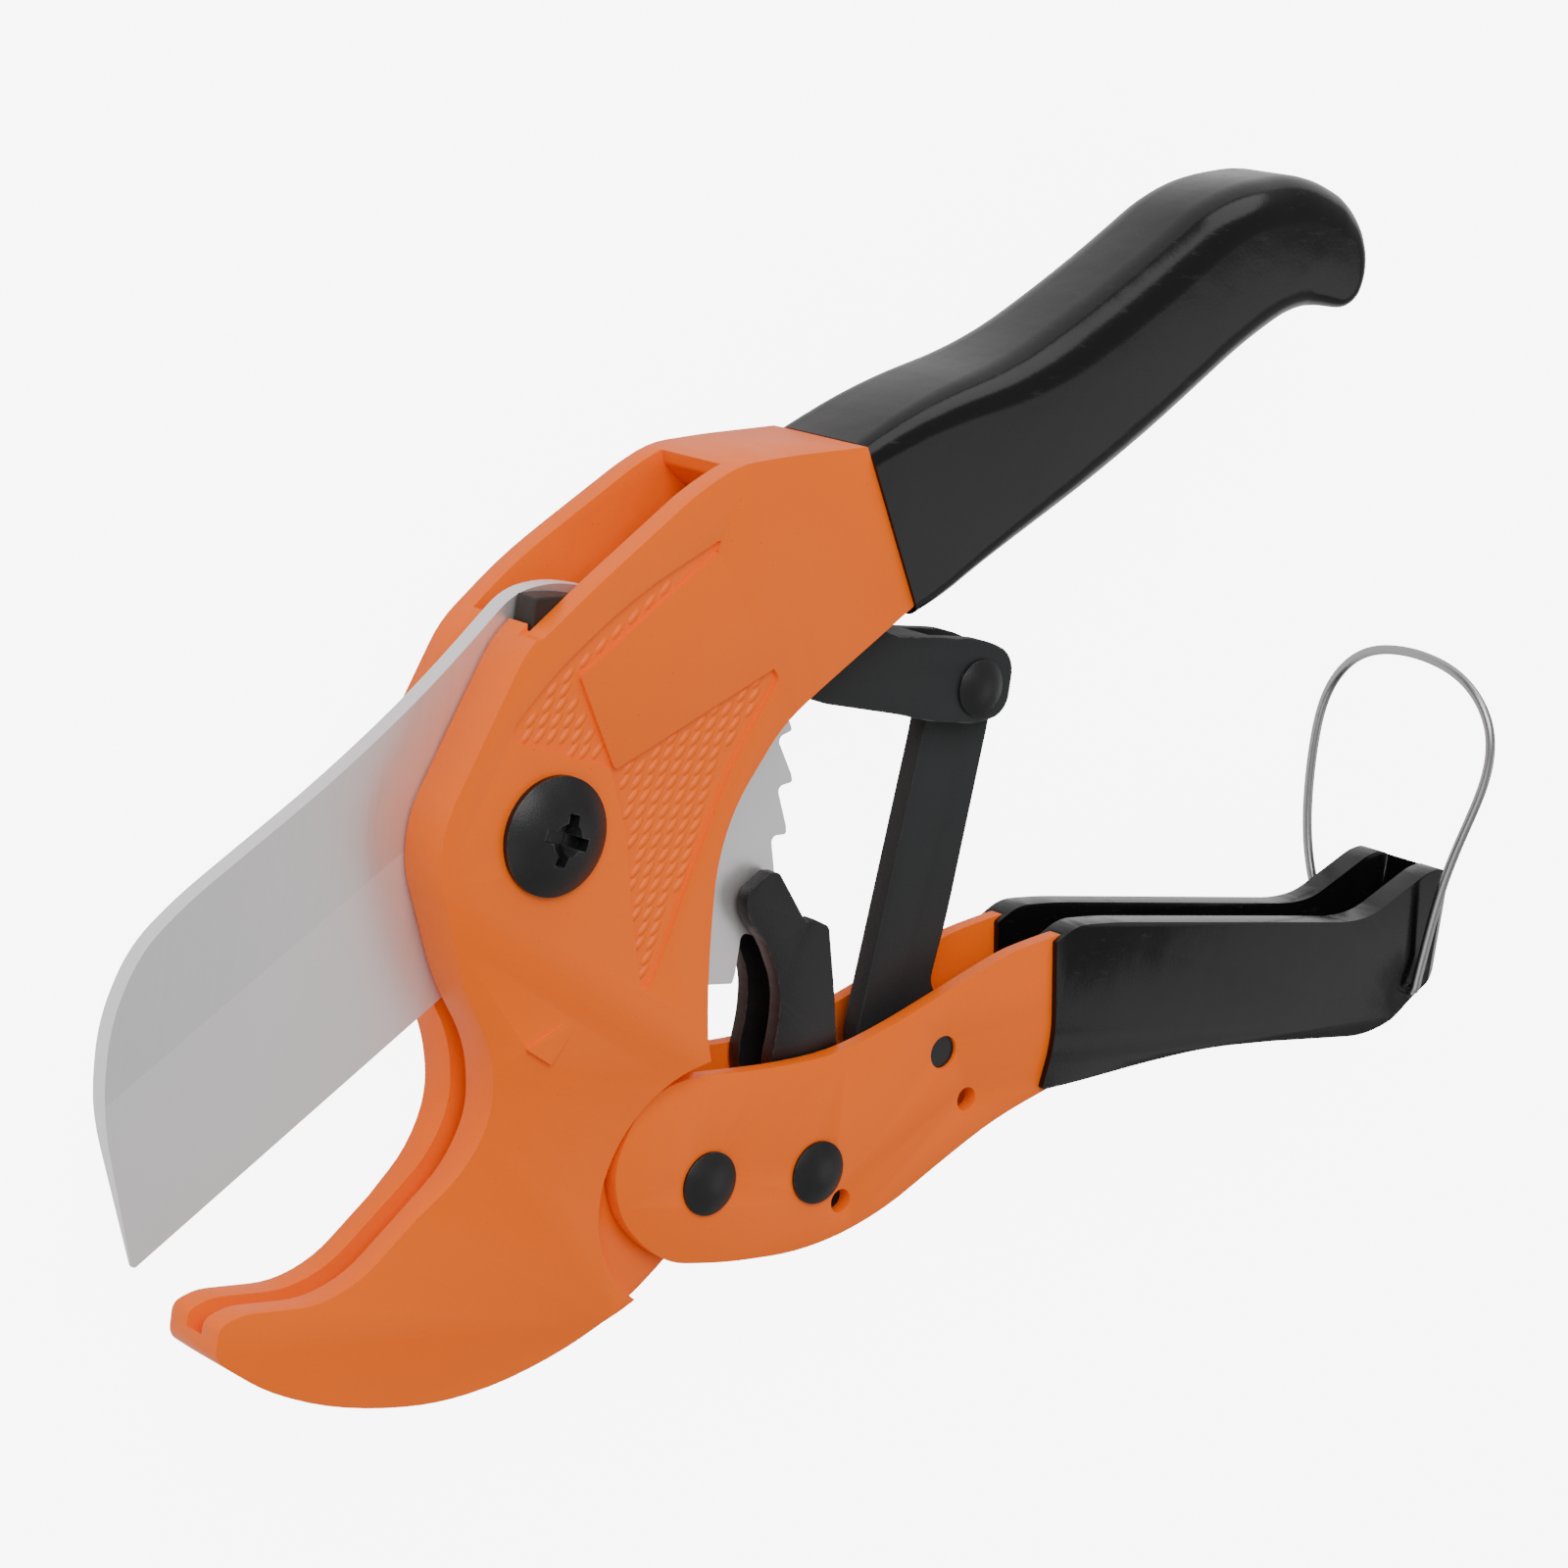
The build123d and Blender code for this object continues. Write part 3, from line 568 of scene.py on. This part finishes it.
def inside(points, corners):
    """Whether each point lies in a polygon, by counting edges to its right."""
    x, y = points[..., 0], points[..., 1]
    odd = np.zeros(x.shape, bool)
    for (x0, y0), (x1, y1) in zip(corners, np.roll(corners, -1, axis=0)):
        crosses = (y0 > y) != (y1 > y)
        odd ^= crosses & (x < x0 + (y - y0) * (x1 - x0) / (y1 - y0 + 1e-12))
    return odd


def bail_path(count):
    """The bail's centre line: each leg through its hole, a tight bend, then one open arch."""
    near = [(0, 0, 4.0), (0, 0, 5.5), (0, 0, 7.0), (0, 0, 8.1), (-0.2, 1.6, 8.25), (-0.3, 5.0, 8.7),
            (-1.0, 17.0, 10.4), (-2.0, 27.0, 14.3), (-2.4, 34.0, 16.6), (-2.6, 41.0, 15.9), (-3.1, 46.4, 10.5),
            (-3.4, 48.2, 3.5)]
    far = [(-3.4, 48.2, -3.5), (-3.1, 46.4, -10.5), (-2.6, 40.0, -15.9), (-2.4, 31.0, -16.6),
           (-2.2, 20.0, -15.8), (-1.7, 11.8, -13.4), (-0.5, 5.0, -9.9), (-0.2, 1.8, -8.4), (0, 0, -8.1),
           (0, 0, -7.0), (0, 0, -5.5), (0, 0, -4.0)]
    return smooth_path(near + far, count) * MM + (*BAIL_PIVOT, PIVOT_HEIGHT)


PANEL = np.array([(19.7, 36.3), (7.0, 28.6), (-3.5, 18.9), (-9.0, 11.5), (7.2, 8.2), (11.6, -1.0), (13.4, -9.0),
                  (17.3, -20.9), (19.6, -15.0), (21.9, -6.1), (26.2, 8.5), (31.8, 19.4), (30.3, 21.0),
                  (19.2, 34.7)]) * MM
LABEL = np.array([(19.8, 34.9), (0.9, 19.0), (8.0, 7.9), (31.1, 20.8)]) * MM
PANEL_DEPTH = 0.6 * MM


def shrunk(corners, by):
    """A polygon drawn in towards its middle by about a distance."""
    middle = corners.mean(0)
    away = corners - middle
    length = np.linalg.norm(away, axis=1)[:, None]
    return middle + away * (length - by) / length


def panel_weave(side):
    """Raised dashes in slanted rows: each is a pillow, height cos(u) cos(v) over its own length and
    width, its place on a grid whose every second row is set back half a stitch."""
    detail = bpy.context.scene.cutter_detail
    heading = radians(40.0)
    along = np.array((np.cos(heading), np.sin(heading)))
    across = np.array((-np.sin(heading), np.cos(heading)))
    pitch_a, pitch_b = detail.stitch_length * 1.12, detail.stitch_width * 1.25
    a, b = np.meshgrid(np.arange(-24, 25), np.arange(-40, 41), indexing="ij")
    centre = (a + 0.5 * (b % 2))[..., None] * pitch_a * along + b[..., None] * pitch_b * across
    centre = centre.reshape(-1, 2) + np.array((9.0, 10.0)) * MM
    wobble = np.sin(centre[:, 0] * 1900) * np.cos(centre[:, 1] * 2300)
    keep = inside(centre, shrunk(PANEL, 1.5 * MM)) & ~inside(centre, shrunk(LABEL, -1.1 * MM))
    keep &= np.linalg.norm(centre, axis=1) > 8.4 * MM
    centre = centre[keep] + 0.00008 * wobble[keep, None] * along
    fade = np.clip((centre @ along + 6.0 * MM) / (9.0 * MM), 0.25, 1.0)
    tilt = heading + radians(14.0)
    long_axis = np.array((np.cos(tilt), np.sin(tilt)))
    short_axis = np.array((-np.sin(tilt), np.cos(tilt)))
    u, v = np.meshgrid(np.linspace(-1, 1, 7), np.linspace(-1, 1, 5), indexing="ij")
    squeeze = np.sqrt(np.clip(1 - 0.75 * u**4, 0, 1))
    flat = (u[..., None] * long_axis * detail.stitch_length / 2
            + (v * squeeze)[..., None] * short_axis * detail.stitch_width / 2)
    height = np.cos(u * np.pi / 2) ** 0.5 * np.cos(v * np.pi / 2) ** 0.7 * detail.stitch_height
    level = side * (CASTING_HALF - PANEL_DEPTH - 0.04 * MM)
    points = np.empty((len(centre), 7, 5, 3))
    points[..., :2] = centre[:, None, None] + flat
    points[..., 2] = PIVOT_HEIGHT + level + side * height * fade[:, None, None]
    index = np.arange(35).reshape(7, 5)
    quads = np.stack([index[:-1, :-1], index[:-1, 1:], index[1:, 1:], index[1:, :-1]], -1).reshape(-1, 4)
    if side > 0:
        quads = quads[:, ::-1]
    faces = (np.arange(len(centre))[:, None, None] * 35 + quads).reshape(-1, 4)
    mesh = bpy.data.meshes.new("panel_weave")
    mesh.from_pydata(points.reshape(-1, 3).tolist(), [], faces.tolist())
    mesh.shade_smooth()
    name = "panel_weave_screw_side" if side > 0 else "panel_weave_nut_side"
    return add_piece(name, mesh, "body_casting", replaced=False)


# ---------------------------------------------------------------- operators

class CUTTER_OT_casting(bpy.types.Operator):
    """Round the casting's edges, paint it and add the raised pattern of its panels"""
    bl_idname = "cutter.casting"
    bl_label = "Casting"

    def execute(self, context):
        rounded_copy("body_casting", context.scene.cutter_detail.casting_round, casting_weight)
        for side in (1, -1):
            panel_weave(side)
        return {"FINISHED"}


class CUTTER_OT_grips(bpy.types.Operator):
    """Finish the dipped sleeves of both handles"""
    bl_idname = "cutter.grips"
    bl_label = "Grips"

    def execute(self, context):
        detail = context.scene.cutter_detail
        fixed_grip(detail.grip_round)
        rounded_copy("lever_sleeve", detail.sleeve_round, sleeve_weight)
        return {"FINISHED"}


class CUTTER_OT_blade(bpy.types.Operator):
    """Finish the blade and the guide plate beside it"""
    bl_idname = "cutter.blade"
    bl_label = "Blade"

    def execute(self, context):
        dress("blade")
        rounded_copy("blade_guide", context.scene.cutter_detail.sheet_round)
        return {"FINISHED"}


class CUTTER_OT_lever(bpy.types.Operator):
    """Round the lever and the knee arms, each in the finish of its slot"""
    bl_idname = "cutter.lever"
    bl_label = "Lever and knee arms"

    def execute(self, context):
        for node in ("lever", "knee_lower_arm", "knee_upper_arm"):
            rounded_copy(node, context.scene.cutter_detail.sheet_round)
        return {"FINISHED"}


class CUTTER_OT_pawls(bpy.types.Operator):
    """Round and blacken the two pawls"""
    bl_idname = "cutter.pawls"
    bl_label = "Pawls"

    def execute(self, context):
        for node in ("drive_pawl", "holding_pawl"):
            rounded_copy(node, context.scene.cutter_detail.sheet_round)
        return {"FINISHED"}


class CUTTER_OT_fasteners(bpy.types.Operator):
    """Finish the screw, nut, rivets, pins, bush, springs and washers"""
    bl_idname = "cutter.fasteners"
    bl_label = "Fasteners and springs"

    def execute(self, context):
        for node in ("pivot_screw", "pivot_washer", "pivot_nut", "pivot_nut_ring", "pivot_bush", "lever_rivet",
                     "pawl_rivet", "elbow_rivet", "knee_body_pin", "knee_lever_pin", "lever_washers",
                     "pawl_washers", "elbow_washers", "blade_spring", "pawl_spring"):
            dress(node)
        return {"FINISHED"}


class CUTTER_OT_bail(bpy.types.Operator):
    """Bend the wire bail as one smooth wire"""
    bl_idname = "cutter.bail"
    bl_label = "Wire bail"

    def execute(self, context):
        path = bail_path(180)
        rings = tube(path, context.scene.cutter_detail.wire / 2, 14)
        add_piece("bail_wire", grid_mesh("bail_wire", rings, close_across=True), "wire_bail")
        return {"FINISHED"}


class CUTTER_OT_stage(bpy.types.Operator):
    """Add the floor, the lights and the camera"""
    bl_idname = "cutter.stage"
    bl_label = "Stage"

    def execute(self, context):
        setup = context.scene.cutter_stage
        half = setup.floor_size / 2
        corners = np.array([[(-half, -half, 0), (half, -half, 0)], [(-half, half, 0), (half, half, 0)]], float)
        corners[..., 2] = -0.0004
        floor = bpy.data.objects.new("floor", grid_mesh("floor", corners))
        context.scene.collection.objects.link(floor)
        paper = Finish("pale_paper")
        grain = paper.noise(300.0, 3.0)
        seen = paper.node("ShaderNodeLightPath", {}, {}, "Is Camera Ray")
        floor.data.materials.append(paper.finish(
            Base_Color=paper.mix(grain, (0.56, 0.56, 0.56, 1), (0.6, 0.6, 0.6, 1)), Roughness=0.9,
            Emission_Color=(1.0, 1.0, 1.0, 1.0), Emission_Strength=seen * setup.paper_glow + 0.5,
            Specular_IOR_Level=0.1))
        middle = Vector((0.055, 0.01, PIVOT_HEIGHT))
        for name, place, size, power in (
            ("key_light", (-0.55, 0.75, 0.95), 0.9, setup.key_power),
            ("fill_light", (-0.9, -0.8, 0.7), 1.1, setup.fill_power),
            ("rim_light", (0.35, 1.15, 0.45), 0.7, setup.rim_power),
            ("steel_light", (0.9, -0.2, 0.9), 0.6, setup.steel_power),
        ):
            lamp = bpy.data.lights.new(name, "AREA")
            lamp.size = size
            lamp.energy = power
            light = bpy.data.objects.new(name, lamp)
            light.location = place
            light.rotation_euler = (middle - Vector(place)).to_track_quat("-Z", "Y").to_euler()
            context.scene.collection.objects.link(light)
        world = bpy.data.worlds.new("studio")
        world.use_nodes = True
        world.node_tree.nodes["Background"].inputs["Color"].default_value = (1, 1, 1, 1)
        world.node_tree.nodes["Background"].inputs["Strength"].default_value = setup.sky
        context.scene.world = world
        lens = bpy.data.cameras.new("camera")
        lens.lens = setup.lens
        lens.sensor_width = 36.0
        lens.clip_end = 20.0
        camera = bpy.data.objects.new("camera", lens)
        right, up, back = (0.7503, 0.1420, 0.6457), (0.0, 0.9766, -0.2149), (-0.6611, 0.1612, 0.7328)
        turn = Matrix((right, up, back)).transposed()
        place = Vector((-0.3028, 0.0886, 0.3832 + PIVOT_HEIGHT))
        camera.matrix_world = Matrix.Translation(place) @ turn.to_4x4()
        context.scene.collection.objects.link(camera)
        context.scene.camera = camera
        return {"FINISHED"}


PIECES = (CUTTER_OT_casting, CUTTER_OT_grips, CUTTER_OT_blade, CUTTER_OT_lever, CUTTER_OT_pawls,
          CUTTER_OT_fasteners, CUTTER_OT_bail, CUTTER_OT_stage)
SETTINGS = (CutterFinishes, CutterDetail, CutterStage)


class CUTTER_PT_panel(bpy.types.Panel):
    """Buttons and sizes of the pipe cutter"""
    bl_label = "Pipe Cutter"
    bl_idname = "CUTTER_PT_panel"
    bl_space_type = "VIEW_3D"
    bl_region_type = "UI"
    bl_category = "Pipe Cutter"

    def draw(self, context):
        for group in ("cutter_finishes", "cutter_detail", "cutter_stage"):
            box = self.layout.box()
            settings = getattr(context.scene, group)
            for name in settings.__annotations__:
                box.prop(settings, name)
        for operator in PIECES:
            self.layout.operator(operator.bl_idname)


def register():
    for item in SETTINGS + PIECES + (CUTTER_PT_panel,):
        bpy.utils.register_class(item)
    bpy.types.Scene.cutter_finishes = PointerProperty(type=CutterFinishes)
    bpy.types.Scene.cutter_detail = PointerProperty(type=CutterDetail)
    bpy.types.Scene.cutter_stage = PointerProperty(type=CutterStage)


def unregister():
    for name in ("cutter_finishes", "cutter_detail", "cutter_stage"):
        delattr(bpy.types.Scene, name)
    for item in reversed(SETTINGS + PIECES + (CUTTER_PT_panel,)):
        bpy.utils.unregister_class(item)


def main():
    """Make every piece."""
    register()
    for operator in PIECES:
        group, name = operator.bl_idname.split(".")
        getattr(getattr(bpy.ops, group), name)()


if __name__ == "__main__":
    main()
